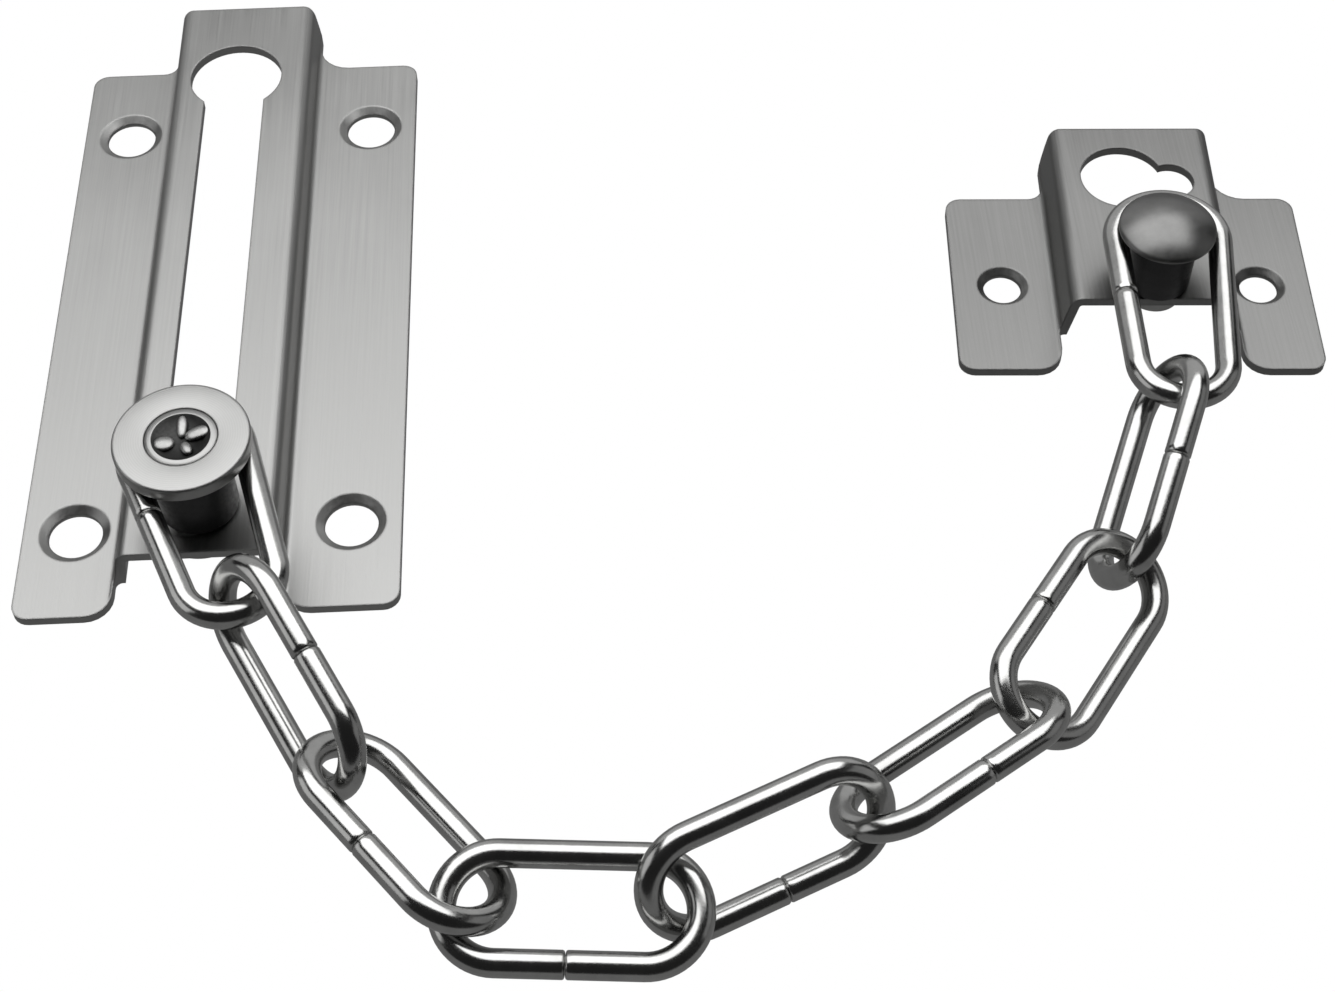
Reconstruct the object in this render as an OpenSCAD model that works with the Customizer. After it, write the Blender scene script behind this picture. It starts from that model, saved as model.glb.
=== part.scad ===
// Door chain guard: a long slide plate, a headed slider that runs along its slot,
// a chain of nine round-wire links, and a small anchor plate with its own headed post.
// Millimetres. Origin: centre of the slide plate's back face. +Y runs along the slot
// towards the entry hole, +Z stands off the mounting surface.

/* [Sheet metal] */
// sheet thickness of both plates
sheet = 1.5; // [1.2:0.1:1.6]
// outward lean of the channel walls, over their height
channel_lean = 1; // [0.4:0.1:1.4]

/* [Slide plate] */
// width over both flanges
slide_width = 56; // [54:0.5:60]
// length of the flanges
slide_length = 114.5; // [112:0.5:118]
// height of the channel above the mounting surface
slide_height = 6.9; // [6.7:0.1:7]
// width of the slot
slot_width = 10; // [9.6:0.1:10.4]
// radius of the entry hole at the end of the slot
entry_radius = 7.7; // [7.5:0.1:7.9]
// radius of the screw holes
slide_hole = 4; // [3.8:0.1:4.2]

/* [Slider] */
// radius of the slider's head
disc_radius = 9.8; // [9.4:0.1:9.9]
// height of the head's top above the mounting surface
disc_top = 22.8; // [22.6:0.1:23.4]
// radius of the dark sleeve under the head
sleeve_radius = 5.8; // [5.2:0.1:5.9]

/* [Anchor plate] */
// width over both flanges
anchor_width = 57; // [55:0.5:60]
// length of the flanges
anchor_length = 37; // [36:0.5:38]
// height of the channel above the mounting surface
anchor_height = 8.3; // [8.1:0.1:8.5]
// radius of the screw holes
anchor_hole = 3; // [2.8:0.1:3.2]
// radius of the domed head
dome_radius = 7.4; // [7:0.1:7.6]
// height of the dome's rim above the mounting surface
dome_base = 19.1; // [18.8:0.1:19.5]
// radius of the dark sleeve under the dome
anchor_sleeve = 5.1; // [4.6:0.1:5.2]

/* [Chain] */
// wire diameter
wire = 3.8; // [3.5:0.1:3.8]

/* [Hidden] */
$fn = 48;
play = 0.04;                        // between pieces that are fastened together
running = 0.4;                      // between the slider and what it runs on
sink_land = 0.6;                    // straight part of a countersunk hole
lean_slope = channel_lean / (slide_height - sheet);

// slide plate outline
slide_left = -12.5;                 // channel top, left edge
slide_right = 10;                   // channel top, right edge
slide_end = 67.5;                   // far end of the channel
slide_start = -50.5;                // near end of the channel
slot_x = -2.2;
slot_low = -42.6;                   // centre of the slot's closed end
entry_y = 50;
slide_holes = [20.4, 42];

// slider
stud_at = [-0.9, -42];
stud_radius = 2.8;
collar_radius = 3.4;
foot_radius = 7.2;
foot_thick = 1.6;
disc_thick = 2.4;
screw_radius = 5.2;

// anchor plate, placed beside the slide plate and turned a little
anchor_at = [143.5, -0.5, 0];
anchor_turn = -3;
anchor_left = -11;
anchor_right = 14.5;
anchor_end = 28;
anchor_start = -10;
anchor_post_at = [2.3, -5.6];
anchor_foot_radius = 4.2;
keyhole_at = [-0.4, 16.8];
keyhole_radius = 6.7;
pocket_at = [7.4, 15.9];
pocket_radius = 3.7;
anchor_holes = [20.5, -0.8];
dome_rise = 2.5;

// chain: length over the wire centres and radius of each bend
link_length = 33.4;
bend = 7.1;
first_length = 37.5;                // link round the slider
first_bend = 8.2;
last_length = 39.5;                 // link round the anchor post
last_bend = 8;
free_bend = 6.6;                    // outer end of both of these
seam_gap = 0.4;

// where each link lies: x, y, z, heading, pitch, roll
lie = [
  [2.5, -51.5, 18, -71, 0, 0],
  [15, -78.5, 16, -60, -15, 67],
  [30.5, -98.5, 9, -50, -3, -31],
  [52, -110, 7, -4, -1, 15],
  [77.5, -103.5, 8.5, 23, 2, 61],
  [103, -91, 8, 33, 0, -35],
  [123.5, -72, 7.5, 54, 0, 28],
  [136.5, -47, 12, 67, 19, -61],
  [145, -17.5, 16.5, 85, 0, 0]
];

// outline helpers: each point is [x, y, corner radius]
function unit(v) = v / norm(v);
function arc_corner(p, q, s, r, n = 6) =
  let (a = unit(p - q), b = unit(s - q), half = acos(a * b) / 2,
       c = q + unit(a + b) * r / sin(half),
       from = q + a * r / tan(half) - c, to = q + b * r / tan(half) - c,
       a0 = atan2(from.y, from.x),
       turn = (atan2(to.y, to.x) - a0 + 540) % 360 - 180)
  [for (i = [0:n]) c + r * [cos(a0 + turn * i / n), sin(a0 + turn * i / n)]];
function rounded(pts) =
  [for (i = [0:len(pts) - 1])
    let (p = pts[(i + len(pts) - 1) % len(pts)], q = pts[i], s = pts[(i + 1) % len(pts)])
    each q.z == 0 ? [[q.x, q.y]]
                  : arc_corner([p.x, p.y], [q.x, q.y], [s.x, s.y], q.z)];

// cross-section of a plate: two flanges and a raised channel with leaning walls
module hat_section(w, left, right, h) {
  foot = lean_slope * (h - sheet);
  slant = sheet * sqrt(1 + lean_slope * lean_slope);
  inner = lean_slope * sheet;
  polygon(rounded([
    [-w / 2, 0, 0], [left - lean_slope * h + slant, 0, 0],
    [left - inner + slant, h - sheet, 0.5], [right + inner - slant, h - sheet, 0.5],
    [right + lean_slope * h - slant, 0, 0], [w / 2, 0, 0], [w / 2, sheet, 0],
    [right + foot, sheet, 1], [right, h, 2], [left, h, 2], [left - foot, sheet, 1],
    [-w / 2, sheet, 0]]));
}

// plan outline: flanges, a notch at the near end, and the channel's tongue at the far end
module plate_outline(w, l, left, right, h, end, notch) {
  foot = lean_slope * (h - sheet) + 0.1;
  polygon(rounded([
    [-w / 2, -l / 2, 2.5], [left - foot, -l / 2, 4], [left - foot, notch, 1],
    [right + foot, notch, 1], [right + foot, -l / 2, 4], [w / 2, -l / 2, 2.5],
    [w / 2, l / 2, 2.5], [right + foot, l / 2, 5], [right + foot, end, 2.5],
    [left - foot, end, 2.5], [left - foot, l / 2, 2.5], [-w / 2, l / 2, 2.5]]));
}

module formed_plate(w, l, left, right, h, end, notch) {
  intersection() {
    translate([0, end, 0]) rotate([90, 0, 0]) linear_extrude(end + l / 2)
      hat_section(w, left, right, h);
    translate([0, 0, -1]) linear_extrude(h + 2)
      plate_outline(w, l, left, right, h, end, notch);
  }
}

module screw_hole(r, sink) {
  translate([0, 0, -1]) cylinder(r = r, h = sheet + 2);
  translate([0, 0, sink_land]) cylinder(r1 = r, r2 = r + sink, h = sheet - sink_land);
  translate([0, 0, sheet]) cylinder(r = r + sink, h = 1);
}

module slot_outline() {
  translate([slot_x, slot_low]) circle(d = slot_width);
  translate([slot_x - slot_width / 2, slot_low]) square([slot_width, entry_y - slot_low]);
  translate([slot_x, entry_y]) circle(r = entry_radius);
}

module keyhole_outline() {
  translate(keyhole_at) circle(r = keyhole_radius);
  translate(pocket_at) circle(r = pocket_radius);
}

module slide_plate() {
  color([0.78, 0.78, 0.77]) difference() {
    formed_plate(slide_width, slide_length, slide_left, slide_right, slide_height,
                 slide_end, slide_start);
    translate([0, 0, sheet + 0.5]) linear_extrude(slide_height) slot_outline();
    for (sx = [-1, 1], sy = [-1, 1])
      translate([sx * slide_holes.x, sy * slide_holes.y, 0]) screw_hole(slide_hole, 1.3);
  }
}

// everything on the slider turns about one upright axis
module on_slider() { translate([stud_at.x, stud_at.y, 0]) children(); }

module slider_foot() {
  color([0.62, 0.63, 0.64]) on_slider() {
    z = slide_height - sheet - running - foot_thick;
    difference() {
      translate([0, 0, z]) cylinder(r = foot_radius, h = foot_thick);
      translate([0, 0, z - 1]) cylinder(r = stud_radius + play, h = foot_thick + 2);
    }
  }
}

module slider_stud() {
  color([0.55, 0.56, 0.58]) on_slider() {
    top = disc_top - disc_thick / 2;
    low = slide_height - sheet - running - foot_thick;
    translate([0, 0, low]) cylinder(r = stud_radius, h = top - low);
    translate([0, 0, low + foot_thick + play])
      cylinder(r = collar_radius, h = sheet + 2 * running - 2 * play);
  }
}

module slider_sleeve() {
  color([0.05, 0.05, 0.055]) on_slider() {
    low = slide_height + running;
    difference() {
      translate([0, 0, low]) cylinder(r = sleeve_radius, h = disc_top - disc_thick - play - low);
      translate([0, 0, low - 1]) cylinder(r = stud_radius + play, h = disc_top);
    }
  }
}

// head of the slider: a flat disc with a turned edge and a counterbored middle
module slider_disc() {
  edge = 0.5;
  color([0.74, 0.74, 0.74]) on_slider() difference() {
    translate([0, 0, disc_top - disc_thick]) rotate_extrude()
      polygon([[0, 0], [disc_radius - edge, 0], [disc_radius, edge],
               [disc_radius, disc_thick - edge], [disc_radius - edge, disc_thick],
               [0, disc_thick]]);
    translate([0, 0, disc_top - disc_thick / 2]) cylinder(r = screw_radius + play, h = disc_thick);
    cylinder(r = stud_radius + play, h = disc_top);
  }
}

// cross-recessed screw that holds the head
module slider_screw() {
  arm = 2;
  reach = 4.2;
  depth = 0.8;
  color([0.5, 0.5, 0.52]) on_slider() difference() {
    translate([0, 0, disc_top - disc_thick / 2 + play])
      cylinder(r = screw_radius, h = disc_thick / 2 - 2 * play);
    translate([0, 0, disc_top - depth]) for (a = [0, 90]) rotate([0, 0, a])
      translate([-reach, -arm / 2, 0]) cube([2 * reach, arm, depth + 1]);
  }
}

// a wire eye: two bends joined by two straight legs, one leg with its butt seam
module eye_link(length, near, far, seam_side, seam_at) {
  span = length - near - far;
  tilt = asin((near - far) / span);
  leg = span * cos(tilt);
  near_x = near - length / 2;
  lap = near == far ? 0 : 0.2;      // leaning legs run a little way into the bends
  thick = near == far ? wire : wire - 0.02;
  translate([near_x, 0, 0]) rotate([0, 0, 90 - tilt])
    rotate_extrude(angle = 180 + 2 * tilt) translate([near, 0]) circle(d = wire);
  translate([length / 2 - far, 0, 0]) rotate([0, 0, tilt - 90])
    rotate_extrude(angle = 180 - 2 * tilt) translate([far, 0]) circle(d = wire);
  for (side = [-1, 1])
    translate([near_x + near * sin(tilt), side * near * cos(tilt), 0])
      rotate([0, 0, -side * tilt]) rotate([0, 90, 0]) translate([0, 0, -lap])
        if (side == seam_side) {
          cut = leg / 2 + lap + seam_at - seam_gap / 2;
          cylinder(d = thick, h = cut);
          translate([0, 0, cut + seam_gap])
            cylinder(d = thick, h = leg + 2 * lap - cut - seam_gap);
        } else cylinder(d = thick, h = leg + 2 * lap);
}

module at_lie(i) {
  q = lie[i];
  translate([q[0], q[1], q[2]]) rotate([0, 0, q[3]]) rotate([0, -q[4], 0])
    rotate([q[5], 0, 0]) children();
}

module chain_link(i, seam_side, seam_at) {
  color([0.8, 0.8, 0.8]) at_lie(i) eye_link(
    i == 0 ? first_length : i == 8 ? last_length : link_length,
    i == 0 ? first_bend : i == 8 ? free_bend : bend,
    i == 0 ? free_bend : i == 8 ? last_bend : bend, seam_side, seam_at);
}

module link_1() { chain_link(0, -1, -3); }
module link_2() { chain_link(1, 1, 0.5); }
module link_3() { chain_link(2, -1, -0.5); }
module link_4() { chain_link(3, -1, -0.5); }
module link_5() { chain_link(4, -1, 1); }
module link_6() { chain_link(5, -1, 1); }
module link_7() { chain_link(6, 1, -0.5); }
module link_8() { chain_link(7, -1, 1); }
module link_9() { chain_link(8, 1, 1); }

// the anchor plate's own frame
module on_anchor() { translate(anchor_at) rotate([0, 0, anchor_turn]) children(); }
module on_anchor_post() {
  on_anchor() translate([anchor_post_at.x, anchor_post_at.y, 0]) children();
}

module anchor_plate() {
  color([0.78, 0.78, 0.77]) on_anchor() difference() {
    formed_plate(anchor_width, anchor_length, anchor_left, anchor_right, anchor_height,
                 anchor_end, anchor_start);
    translate([0, 0, sheet + 0.5]) linear_extrude(anchor_height) keyhole_outline();
    translate([anchor_post_at.x, anchor_post_at.y, 0])
      cylinder(r = stud_radius + play, h = anchor_height + 1);
    for (sx = [-1, 1])
      translate([sx * anchor_holes.x, anchor_holes.y, 0]) screw_hole(anchor_hole, 1.1);
  }
}

module anchor_foot() {
  color([0.62, 0.63, 0.64]) on_anchor_post() difference() {
    translate([0, 0, anchor_height - sheet - play - foot_thick])
      cylinder(r = anchor_foot_radius, h = foot_thick);
    cylinder(r = stud_radius + play, h = anchor_height);
  }
}

module anchor_stud() {
  low = anchor_height - sheet - play - foot_thick;
  color([0.55, 0.56, 0.58]) on_anchor_post()
    translate([0, 0, low]) cylinder(r = stud_radius, h = dome_base - low - play);
}

module anchor_sleeve_ring() {
  low = anchor_height + play;
  color([0.05, 0.05, 0.055]) on_anchor_post() difference() {
    translate([0, 0, low]) cylinder(r = anchor_sleeve, h = dome_base - play - low);
    translate([0, 0, low - 1]) cylinder(r = stud_radius + play, h = dome_base);
  }
}

// low domed rivet head
module anchor_dome() {
  rim = 0.6;
  cap = (dome_radius * dome_radius + dome_rise * dome_rise) / (2 * dome_rise);
  color([0.66, 0.66, 0.67]) on_anchor_post() translate([0, 0, dome_base]) {
    cylinder(r = dome_radius, h = rim);
    intersection() {
      translate([0, 0, rim + dome_rise - cap]) sphere(r = cap);
      translate([0, 0, rim]) cylinder(r = dome_radius, h = dome_rise + 1);
    }
  }
}

slide_plate();
slider_foot();
slider_stud();
slider_sleeve();
slider_disc();
slider_screw();
link_1();
link_2();
link_3();
link_4();
link_5();
link_6();
link_7();
link_8();
link_9();
anchor_plate();
anchor_foot();
anchor_stud();
anchor_sleeve_ring();
anchor_dome();
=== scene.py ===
import bpy
from math import acos, asin, cos, pi, radians, sin
from mathutils import Matrix, Vector


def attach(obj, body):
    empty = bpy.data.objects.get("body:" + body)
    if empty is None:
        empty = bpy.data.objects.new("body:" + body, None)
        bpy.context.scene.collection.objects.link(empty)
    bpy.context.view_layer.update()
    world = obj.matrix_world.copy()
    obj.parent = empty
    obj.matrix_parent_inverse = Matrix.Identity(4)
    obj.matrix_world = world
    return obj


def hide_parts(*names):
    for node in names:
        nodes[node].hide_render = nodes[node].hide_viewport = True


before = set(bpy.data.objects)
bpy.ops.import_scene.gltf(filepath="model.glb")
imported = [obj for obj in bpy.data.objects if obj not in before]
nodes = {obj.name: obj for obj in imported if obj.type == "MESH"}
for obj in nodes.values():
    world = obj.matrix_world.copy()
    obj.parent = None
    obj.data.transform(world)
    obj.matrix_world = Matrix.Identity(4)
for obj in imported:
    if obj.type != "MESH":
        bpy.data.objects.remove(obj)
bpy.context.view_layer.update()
MM = 0.001


# ---------------------------------------------------------------- sizes, in millimetres
WIRE = 3.8
BEND, LINK = 7.1, 33.4
SEAM = 0.1                          # between the two ends of the wire
BORE = 3.04                         # radius of the hole through the disc and both sleeves
PLAY = 0.04                         # between the screw and its seat
SLIDER = (-0.9, -42.0)
DISC = dict(r=9.8, top=22.8, thick=2.4)
SLIDER_SLEEVE = dict(r=5.8, low=7.3, high=20.36)
SCREW_R, SCREW_TOP = 5.2, 22.78
CUP_R = 4.1                         # bowl in the screw's head
ANCHOR_AT, ANCHOR_TURN = (143.5, -0.5), radians(-3)
ANCHOR_POST = (2.3, -5.6)           # on the anchor plate
DOME = dict(r=7.4, base=19.1, rim=0.6, rise=2.5)
ANCHOR_SLEEVE = dict(r=5.1, low=8.34, high=19.06)

# each link: x, y, z, heading, pitch, roll, length, near bend, far bend, seam side, seam place
LINKS = [
    (2.5, -51.5, 18, -71, 0, 0, 37.5, 8.2, 6.6, -1, -3),
    (15, -78.5, 16, -60, -15, 67, LINK, BEND, BEND, 1, 0.5),
    (30.5, -98.5, 9, -50, -3, -31, LINK, BEND, BEND, -1, -0.5),
    (52, -110, 7, -4, -1, 15, LINK, BEND, BEND, -1, -0.5),
    (77.5, -103.5, 8.5, 23, 2, 61, LINK, BEND, BEND, -1, 1),
    (103, -91, 8, 33, 0, -35, LINK, BEND, BEND, -1, 1),
    (123.5, -72, 7.5, 54, 0, 28, LINK, BEND, BEND, 1, -0.5),
    (136.5, -47, 12, 67, 19, -61, LINK, BEND, BEND, -1, 1),
    (145, -17.5, 16.5, 85, 0, 0, 39.5, 6.6, 8.0, 1, 1),
]

# each tongue in the screw: direction in degrees, distance out, half length, half width
TONGUES = [
    (24, 2.4, 1.9, 1.15),
    (92, 2.3, 2.0, 0.8),
    (196, 2.5, 1.5, 1.35),
    (296, 1.9, 1.3, 0.8),
]
TONGUE_HALF_HEIGHT = 0.42

# a cut end of wire, from its middle outwards: distance along the wire, share of its radius
CUT_END = [(0.0, 0.0), (0.0, 0.84), (0.08, 0.94), (0.28, 1.0)]


# ---------------------------------------------------------------- material helpers
class Nodes:
    """A small builder for one material's node tree."""

    def __init__(self, name, **fixed):
        self.mat = bpy.data.materials.new(name)
        self.mat.use_nodes = True
        self.tree = self.mat.node_tree
        self.bsdf = self.tree.nodes["Principled BSDF"]
        for key, value in fixed.items():
            self.bsdf.inputs[key.replace("_", " ")].default_value = value
        self.place = self.add("ShaderNodeTexCoord").outputs["Object"]

    def add(self, kind, **fields):
        node = self.tree.nodes.new(kind)
        for key, value in fields.items():
            setattr(node, key, value)
        return node

    def link(self, a, b):
        self.tree.links.new(a, b)

    def mapped(self, scale=(1, 1, 1), at=(0, 0, 0)):
        node = self.add("ShaderNodeMapping")
        self.link(self.place, node.inputs["Vector"])
        node.inputs["Scale"].default_value = scale
        node.inputs["Location"].default_value = at
        return node.outputs["Vector"]

    def noise(self, scale, detail=3.0):
        """Noise with scale features to the metre along each axis."""
        node = self.add("ShaderNodeTexNoise")
        self.link(self.mapped(scale), node.inputs["Vector"])
        node.inputs["Scale"].default_value = 1.0
        node.inputs["Detail"].default_value = detail
        node.inputs["Roughness"].default_value = 0.6
        return node.outputs["Fac"]

    def span(self, source, low, high, a=0.3, b=0.7):
        """Values from a to b become values from low to high."""
        node = self.add("ShaderNodeMapRange")
        self.link(source, node.inputs["Value"])
        for key, value in (("From Min", a), ("From Max", b), ("To Min", low), ("To Max", high)):
            node.inputs[key].default_value = value
        return node.outputs["Result"]

    def ramp(self, source, dark, light, a=0.3, b=0.7):
        """Values from a to b become colours from dark to light."""
        node = self.add("ShaderNodeValToRGB")
        self.link(source, node.inputs["Fac"])
        for end, at, colour in zip(node.color_ramp.elements, (a, b), (dark, light)):
            end.position = at
            end.color = (*colour, 1)
        return node.outputs["Color"]

    def maths(self, kind, a, b):
        node = self.add("ShaderNodeMath", operation=kind)
        for socket, value in zip(node.inputs, (a, b)):
            if isinstance(value, (int, float)):
                socket.default_value = value
            else:
                self.link(value, socket)
        return node.outputs[0]

    def blend(self, a, b, share):
        """The given share of a, and the rest of b."""
        return self.maths("ADD", self.maths("MULTIPLY", a, share),
                          self.maths("MULTIPLY", b, 1 - share))

    def bump(self, source, strength, distance, edge=0.0003):
        """Relief from the source, over edges that look rounded by edge metres."""
        node = self.add("ShaderNodeBump")
        self.link(source, node.inputs["Height"])
        node.inputs["Strength"].default_value = strength
        node.inputs["Distance"].default_value = distance
        soft = self.add("ShaderNodeBevel", samples=4)
        soft.inputs["Radius"].default_value = edge
        self.link(soft.outputs["Normal"], node.inputs["Normal"])
        self.link(node.outputs["Normal"], self.bsdf.inputs["Normal"])

    def out(self, source, socket):
        self.link(source, self.bsdf.inputs[socket])


def brushed(name, dark, light):
    """Satin sheet steel: long fine strokes along Y, and faint clouds."""
    m = Nodes(name, Metallic=1.0, Anisotropic=0.35)
    fine, long = 2600, 34
    strokes = m.noise((fine, long, fine), detail=4)
    cloud = m.noise((55, 40, 55), detail=3)
    mix = m.blend(strokes, cloud, 0.62)
    m.out(m.ramp(mix, dark, light), "Base Color")
    m.out(m.span(mix, 0.30, 0.44), "Roughness")
    m.bump(strokes, 0.10, 0.00012, edge=0.00045)
    return m.mat


def polished(name, dark, light, low, high):
    """Bright wire or turned metal: soft clouds and fine scratches. Roughness is low to high."""
    m = Nodes(name, Metallic=1.0)
    cloud = m.noise((160, 160, 160), detail=4)
    scratch = m.noise((3200, 3200, 900), detail=2)
    m.out(m.ramp(cloud, dark, light), "Base Color")
    m.out(m.span(m.maths("MULTIPLY", cloud, scratch), low, high, 0.1, 0.4), "Roughness")
    m.bump(scratch, 0.05, 0.00006)
    return m.mat


def turned(name, centre, dark, light, low, high):
    """Faced on a lathe: fine rings about an upright axis. Roughness is low to high."""
    m = Nodes(name, Metallic=1.0, Anisotropic=0.3)
    rings = m.add("ShaderNodeTexWave", wave_type="RINGS", rings_direction="Z")
    to_axis = (-centre[0] * MM, -centre[1] * MM, 0)
    m.link(m.mapped(at=to_axis), rings.inputs["Vector"])
    rings.inputs["Scale"].default_value = 900
    rings.inputs["Distortion"].default_value = 1.2
    cloud = m.noise((120, 120, 120))
    mix = m.blend(rings.outputs["Fac"], cloud, 0.25)
    m.out(m.ramp(mix, dark, light, 0.25, 0.75), "Base Color")
    m.out(m.span(mix, low, high), "Roughness")
    m.bump(rings.outputs["Fac"], 0.06, 0.00005)
    return m.mat


def painted_shade_skin(name, dark, light):
    """Near-black satin skin with fine grain: painted shade for the deep shade between parts."""
    m = Nodes(name, Metallic=0.0, Specular_IOR_Level=0.45)
    grain = m.noise((1500, 1500, 1500), detail=3)
    cloud = m.noise((90, 90, 300), detail=2)
    m.out(m.ramp(cloud, dark, light), "Base Color")
    m.out(m.span(grain, 0.28, 0.5), "Roughness")
    m.bump(grain, 0.12, 0.0001)
    return m.mat


def grey(v):
    """A very slightly warm grey."""
    return (v, v, v * 0.985)


STAINLESS = brushed("stainless", grey(0.31), grey(0.38))
# The anchor plate gets a darker copy of the same plate steel: painted shade for the less light it
# catches from this side.
ANCHOR_STEEL_SHADED = brushed("anchor_stainless_painted_shade", grey(0.19), grey(0.26))
LINK_STEEL = polished("link_steel", grey(0.42), grey(0.58), 0.15, 0.21)
PLATED = polished("plated", grey(0.36), grey(0.48), 0.3, 0.5)
TURNED = turned("turned", SLIDER, grey(0.34), grey(0.42), 0.32, 0.46)
SCREW = polished("screw", grey(0.22), grey(0.46), 0.22, 0.42)
# The screw's bowl is near black: painted shade in the recess.
RECESS_SHADE = polished("screw_recess_painted_shade", grey(0.02), grey(0.07), 0.35, 0.6)
DOME_STEEL = polished("dome", grey(0.17), grey(0.24), 0.28, 0.42)
# Near black on the sleeves: painted shade for the dark space between the link legs under each head.
SHADE_BLACK = painted_shade_skin("black_nylon", (0.008, 0.008, 0.009), (0.02, 0.02, 0.021))


# ---------------------------------------------------------------- shape helpers
def new_mesh(name, verts, faces, mat, body, node):
    """A smooth mesh from points in millimetres, which shows in place of the node."""
    mesh = bpy.data.meshes.new(name)
    mesh.from_pydata([tuple(c * MM for c in v) for v in verts], [], faces)
    mesh.validate()
    mesh.shade_smooth()
    o = bpy.data.objects.new(name, mesh)
    bpy.context.scene.collection.objects.link(o)
    mesh.materials.append(mat)
    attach(o, body)
    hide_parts(node)
    return o


def skin(rows, n):
    """Faces between neighbouring rows. A row is a ring of n points, or one point."""
    faces = []
    for a, b in zip(rows, rows[1:]):
        for i in range(n):
            j = (i + 1) % n
            if len(a) == 1:
                faces.append((a[0], b[j], b[i]))
            elif len(b) == 1:
                faces.append((a[i], a[j], b[0]))
            else:
                faces.append((a[i], a[j], b[j], b[i]))
    return faces


def turned_shape(profile, at, n=96):
    """Verts and faces of a profile [(r, z), ...] turned about the upright axis at at."""
    verts, rows = [], []
    for r, z in profile:
        if r == 0:
            rows.append([len(verts)])
            verts.append((at[0], at[1], z))
        else:
            rows.append(list(range(len(verts), len(verts) + n)))
            verts += [(at[0] + r * cos(2 * pi * i / n), at[1] + r * sin(2 * pi * i / n), z)
                      for i in range(n)]
    return verts, skin(rows, n)


def round_edge(r, z, size, start, n=5):
    """Quarter circle of radius size about (r, z), from start degrees on."""
    return [(r + size * cos(radians(start + 90 * i / n)), z + size * sin(radians(start + 90 * i / n)))
            for i in range(n + 1)]


def link_line(length, near, far, seam_side, seam_at, step=0.7):
    """Centre line of an eye as one open run that starts and ends at the seam."""
    span = length - near - far
    tilt = asin((near - far) / span)
    leg = span * cos(tilt)
    near_x, far_x = near - length / 2, length / 2 - far
    cut = leg / 2 + seam_at
    top = pi / 2 - tilt             # where a leg meets a bend

    def leg_run(side, places):
        x0, y0 = near_x + near * sin(tilt), side * near * cos(tilt)
        return [(x0 + t * cos(tilt), y0 - side * t * sin(tilt)) for t in places]

    def bend_run(x, r, a0, a1):
        n = max(8, int(abs(a1 - a0) * r / step))
        return [(x + r * cos(a0 + (a1 - a0) * i / n), r * sin(a0 + (a1 - a0) * i / n))
                for i in range(1, n)]

    s = seam_side
    return (leg_run(s, (cut + SEAM / 2, cut + 1, leg))
            + bend_run(far_x, far, s * top, -s * top)
            + leg_run(-s, (leg, leg * 0.66, leg * 0.33, 0))
            + bend_run(near_x, near, -s * top, -s * (2 * pi - top))
            + leg_run(s, (0, cut - 1, cut - SEAM / 2)))


def tube(line, n=32):
    """Round wire along a flat open line, with slightly rounded ends."""
    r, verts, rows = WIRE / 2, [], []
    last = len(line) - 1
    for k, p in enumerate(line):
        a, b = line[max(0, k - 1)], line[min(last, k + 1)]
        ahead = Vector((b[0] - a[0], b[1] - a[1])).normalized()
        side = Vector((-ahead.y, ahead.x))
        rings = [(0.0, 1.0)]
        if k == 0:
            rings = CUT_END
        if k == last:
            rings = [(-along, share) for along, share in reversed(CUT_END)]
        for along, share in rings:
            c = Vector(p) + ahead * along
            if share == 0:
                rows.append([len(verts)])
                verts.append((c.x, c.y, 0))
                continue
            rows.append(list(range(len(verts), len(verts) + n)))
            for i in range(n):
                angle = 2 * pi * i / n
                q = c + side * (share * r * cos(angle))
                verts.append((q.x, q.y, share * r * sin(angle)))
    return verts, skin(rows, n)


def blob(at, size, turn, tilt):
    """Verts and faces of a small squashed ball, turned about Z and tipped outwards."""
    n, rings = 16, 9
    verts = []
    pose = (Matrix.Translation(at) @ Matrix.Rotation(turn, 4, "Z")
            @ Matrix.Rotation(tilt, 4, "Y"))
    for k in range(rings + 1):
        a = pi * k / rings
        for i in range(n):
            b = 2 * pi * i / n
            v = Vector((size[0] * cos(a), size[1] * sin(a) * cos(b), size[2] * sin(a) * sin(b)))
            verts.append(tuple(pose @ v))
    faces = [(k * n + i, k * n + (i + 1) % n, (k + 1) * n + (i + 1) % n, (k + 1) * n + i)
             for k in range(rings) for i in range(n)]
    return verts, faces


# ---------------------------------------------------------------- the pieces
def paint(name, mat):
    """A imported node, shown as it is in the given material."""
    o = nodes[name]
    o.data.materials.clear()
    o.data.materials.append(mat)


def make_links():
    for k, (x, y, z, head, pitch, roll, length, near, far, side, at) in enumerate(LINKS):
        pose = (Matrix.Translation((x, y, z)) @ Matrix.Rotation(radians(head), 4, "Z")
                @ Matrix.Rotation(radians(-pitch), 4, "Y") @ Matrix.Rotation(radians(roll), 4, "X"))
        verts, faces = tube(link_line(length, near, far, side, at))
        verts = [tuple(pose @ Vector(v)) for v in verts]
        name = f"link_{k + 1}"
        new_mesh(name + "_wire", verts, faces, LINK_STEEL, name, name)


def make_disc():
    """Flat head with rounded rims and a sunk seat for the screw."""
    r, top, thick, edge = DISC["r"], DISC["top"], DISC["thick"], 0.45
    seat, lip = SCREW_R + PLAY, 0.06
    low, seat_z = top - thick, top - thick / 2
    profile = [(BORE, low), (r - edge, low)]
    profile += round_edge(r - edge, low + edge, edge, -90)[1:]
    profile += round_edge(r - edge, top - edge, edge, 0)
    profile += round_edge(seat + lip, top - lip, lip, 90)
    profile += [(seat, seat_z), (BORE, seat_z), (BORE, low)]
    verts, faces = turned_shape(profile, SLIDER)
    new_mesh("slider_disc_turned", verts, faces, TURNED, "slider", "slider_disc")


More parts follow.
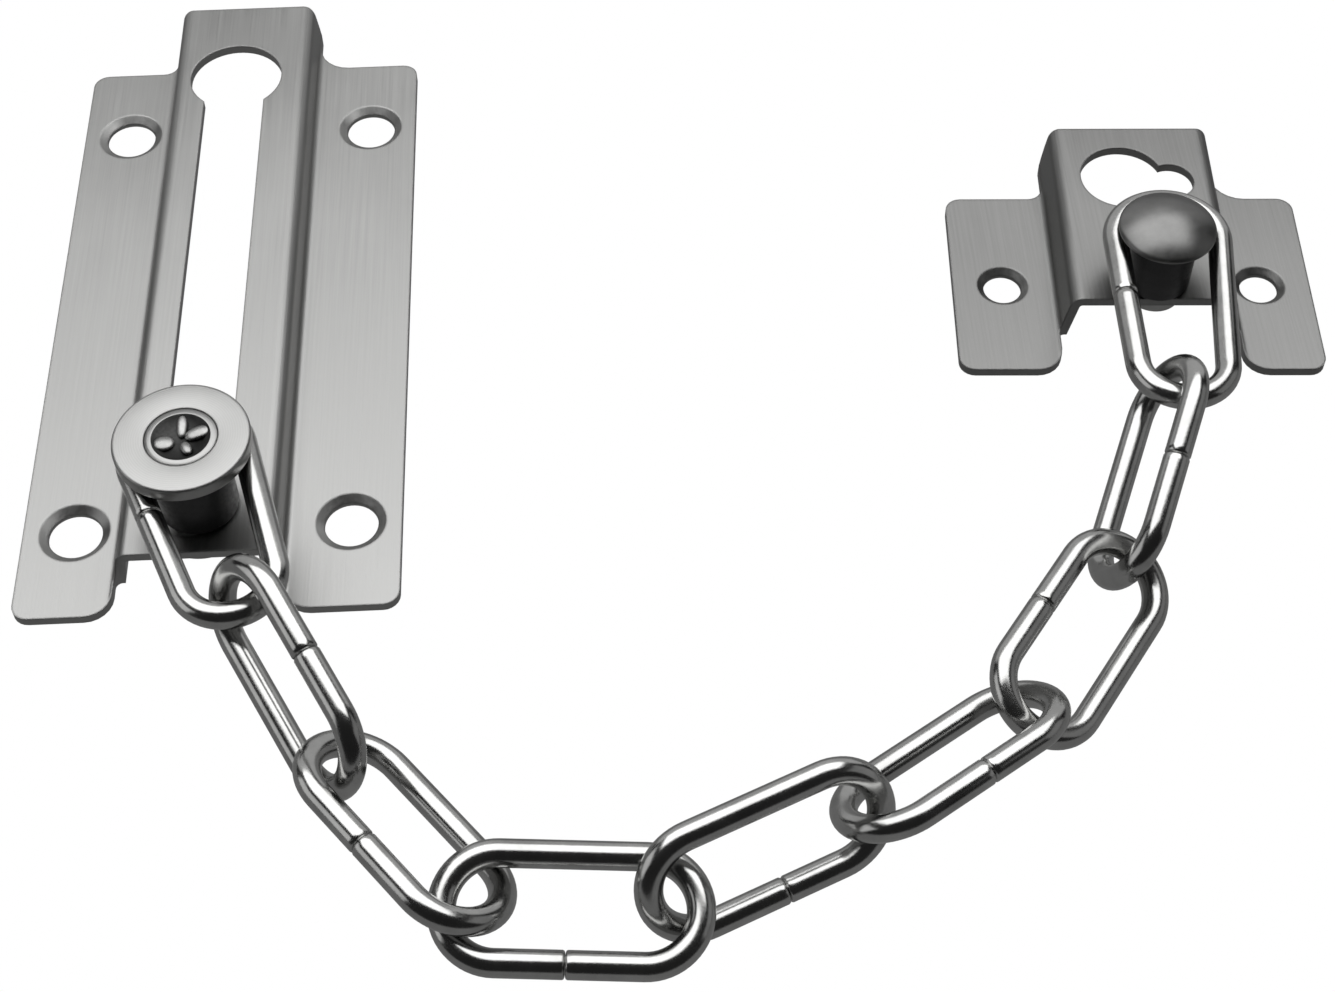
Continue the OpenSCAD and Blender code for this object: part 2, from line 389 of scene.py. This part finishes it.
def make_screw():
    """A rim, a bowl painted dark as the shade in the recess, and four bent tongues of metal in place
    of a clean cross recess.
    """
    low, top, r = DISC["top"] - DISC["thick"] / 2 + PLAY, SCREW_TOP, SCREW_R
    edge = 0.2
    rim = [(0, low), (r, low), (r, top - edge), (r - edge, top), (CUP_R + 0.1, top)]
    bowl = [rim[-1], (CUP_R - 0.2, top - 0.15), (CUP_R * 0.75, top - 0.75), (0, top - 0.95)]
    verts, faces = turned_shape(rim, SLIDER)
    new_mesh("screw_rim", verts, faces, TURNED, "slider", "slider_screw")
    verts, faces = turned_shape(bowl, SLIDER)
    new_mesh("screw_bowl", verts, faces, RECESS_SHADE, "slider", "slider_screw")
    for k, (angle, out, long, wide) in enumerate(TONGUES):
        a = radians(angle)
        at = (SLIDER[0] + out * cos(a), SLIDER[1] + out * sin(a), top - 0.5)
        verts, faces = blob(at, (long, wide, TONGUE_HALF_HEIGHT), a, radians(-4))
        new_mesh(f"screw_tongue_{k + 1}", verts, faces, SCREW, "slider", "slider_screw")


def make_sleeve(name, at, size, body, node):
    """Sleeve with rounded ends, painted near black as the deep shade between the link legs under the
    head.
    """
    r, low, high, edge = size["r"], size["low"], size["high"], 0.4
    profile = [(BORE, low), (r - edge, low)] + round_edge(r - edge, low + edge, edge, -90)[1:]
    profile += round_edge(r - edge, high - edge, edge, 0) + [(BORE, high), (BORE, low)]
    verts, faces = turned_shape(profile, at)
    new_mesh(name, verts, faces, SHADE_BLACK, body, node)


def anchor_post_world():
    c, s = cos(ANCHOR_TURN), sin(ANCHOR_TURN)
    x, y = ANCHOR_POST
    return (ANCHOR_AT[0] + c * x - s * y, ANCHOR_AT[1] + s * x + c * y)


def make_dome():
    """A short upright rim under a shallow spherical cap."""
    r, base, rim, rise = DOME["r"], DOME["base"], DOME["rim"], DOME["rise"]
    ball = (r * r + rise * rise) / (2 * rise)
    edge = 0.3
    profile = [(0, base), (r - edge, base)] + round_edge(r - edge, base + edge, edge, -90)[1:]
    profile += [(r, base + rim - 0.1)]
    start = acos(1 - rise / ball) * 0.97
    n = 24
    for i in range(n):
        a = start * (1 - i / n)
        profile.append((ball * sin(a), base + rim + rise - ball + ball * cos(a)))
    profile.append((0, base + rim + rise))
    verts, faces = turned_shape(profile, anchor_post_world())
    new_mesh("anchor_dome_round", verts, faces, DOME_STEEL, "anchor", "anchor_dome")


paint("slide_plate", STAINLESS)
paint("anchor_plate", ANCHOR_STEEL_SHADED)
make_links()
make_disc()
make_screw()
make_sleeve("slider_sleeve_painted_shade", SLIDER, SLIDER_SLEEVE, "slider", "slider_sleeve")
make_sleeve("anchor_sleeve_painted_shade", anchor_post_world(), ANCHOR_SLEEVE,
            "anchor", "anchor_sleeve_ring")
make_dome()
for hidden in ("slider_foot", "slider_stud", "anchor_foot", "anchor_stud"):
    paint(hidden, PLATED)


# ---------------------------------------------------------------- camera, in metres
CAMERA_AT = (0.06095, -0.24389, 0.26853)
CAMERA_YAW, CAMERA_PITCH, CAMERA_ROLL = radians(1.82), radians(52.6), radians(-0.96)
CAMERA_LENS = 60.8


def set_camera():
    """Stands off the near ends of the plates, above them, and looks steeply down."""
    yaw, pitch, roll = CAMERA_YAW, CAMERA_PITCH, CAMERA_ROLL
    ahead = Vector((sin(yaw), cos(yaw), 0))
    right = Vector((cos(yaw), -sin(yaw), 0))
    up = ahead * sin(pitch) + Vector((0, 0, cos(pitch)))
    look = ahead * cos(pitch) - Vector((0, 0, sin(pitch)))
    x = right * cos(roll) + up * sin(roll)
    y = up * cos(roll) - right * sin(roll)
    data = bpy.data.cameras.new("camera")
    data.lens, data.sensor_width = CAMERA_LENS, 36
    data.clip_start = 0.01
    o = bpy.data.objects.new("camera", data)
    bpy.context.scene.collection.objects.link(o)
    turn = Matrix((x, y, -look)).transposed().to_4x4()
    o.matrix_world = Matrix.Translation(CAMERA_AT) @ turn
    bpy.context.scene.camera = o


# ---------------------------------------------------------------- stage and light, in metres
MIDDLE_X, MIDDLE_Y = 0.07, -0.02
FLOOR_Z = -0.0004
FLOOR_IN_REFLECTIONS = 0.20
ROOM_LIGHT = 0.02


def flat_card(name, centre, size, aim, mat):
    """A flat card that faces the point aim."""
    w, h = size[0] / 2, size[1] / 2
    mesh = bpy.data.meshes.new(name)
    mesh.from_pydata([(-w, -h, 0), (w, -h, 0), (w, h, 0), (-w, h, 0)], [], [(0, 1, 2, 3)])
    mesh.materials.append(mat)
    o = bpy.data.objects.new(name, mesh)
    bpy.context.scene.collection.objects.link(o)
    centre = Vector(centre)
    turn = (Vector(aim) - centre).to_track_quat("Z", "Y").to_matrix().to_4x4()
    o.matrix_world = Matrix.Translation(centre) @ turn


def emitter(name):
    """A material that only glows, with its node tree and its emission node."""
    mat = bpy.data.materials.new(name)
    mat.use_nodes = True
    tree = mat.node_tree
    tree.nodes.remove(tree.nodes["Principled BSDF"])
    light = tree.nodes.new("ShaderNodeEmission")
    tree.links.new(light.outputs[0], tree.nodes["Material Output"].inputs["Surface"])
    return mat, tree, light


def glow(name, strength):
    mat, _, light = emitter(name)
    light.inputs["Strength"].default_value = strength
    return mat


def floor_material():
    """Pale paper: white to the eye, dark grey in the metal's reflections."""
    mat, tree, light = emitter("paper")
    path = tree.nodes.new("ShaderNodeLightPath")
    pick = tree.nodes.new("ShaderNodeMapRange")
    tree.links.new(path.outputs["Is Camera Ray"], pick.inputs["Value"])
    pick.inputs["To Min"].default_value = FLOOR_IN_REFLECTIONS
    pick.inputs["To Max"].default_value = 1.0
    tree.links.new(pick.outputs["Result"], light.inputs["Strength"])
    return mat


def set_world(strength):
    world = bpy.data.worlds.new("room")
    bpy.context.scene.world = world
    world.use_nodes = True
    back = world.node_tree.nodes["Background"]
    back.inputs["Color"].default_value = (1, 1, 1, 1)
    back.inputs["Strength"].default_value = strength


def set_stage():
    middle = (MIDDLE_X, MIDDLE_Y, 0)
    flat_card("floor", (MIDDLE_X, MIDDLE_Y, FLOOR_Z), (6, 6), (MIDDLE_X, MIDDLE_Y, 1),
              floor_material())
    set_world(ROOM_LIGHT)
    cards = (
        ("softbox", (0.05, 0.24, 0.75), (1.2, 0.8), middle, 2.3),
        ("back_wall", (MIDDLE_X, 1.0, 0.35), (2.6, 0.9), (MIDDLE_X, 0, 0.1), 0.5),
        ("left_card", (-0.9, -0.1, 0.35), (0.8, 0.6), middle, 0.75),
        ("right_card", (1.0, -0.1, 0.35), (0.8, 0.6), middle, 0.25),
    )
    for name, centre, size, aim, strength in cards:
        flat_card(name, centre, size, aim, glow(name, strength))


set_camera()
set_stage()
bpy.context.scene.view_settings.view_transform = "Standard"
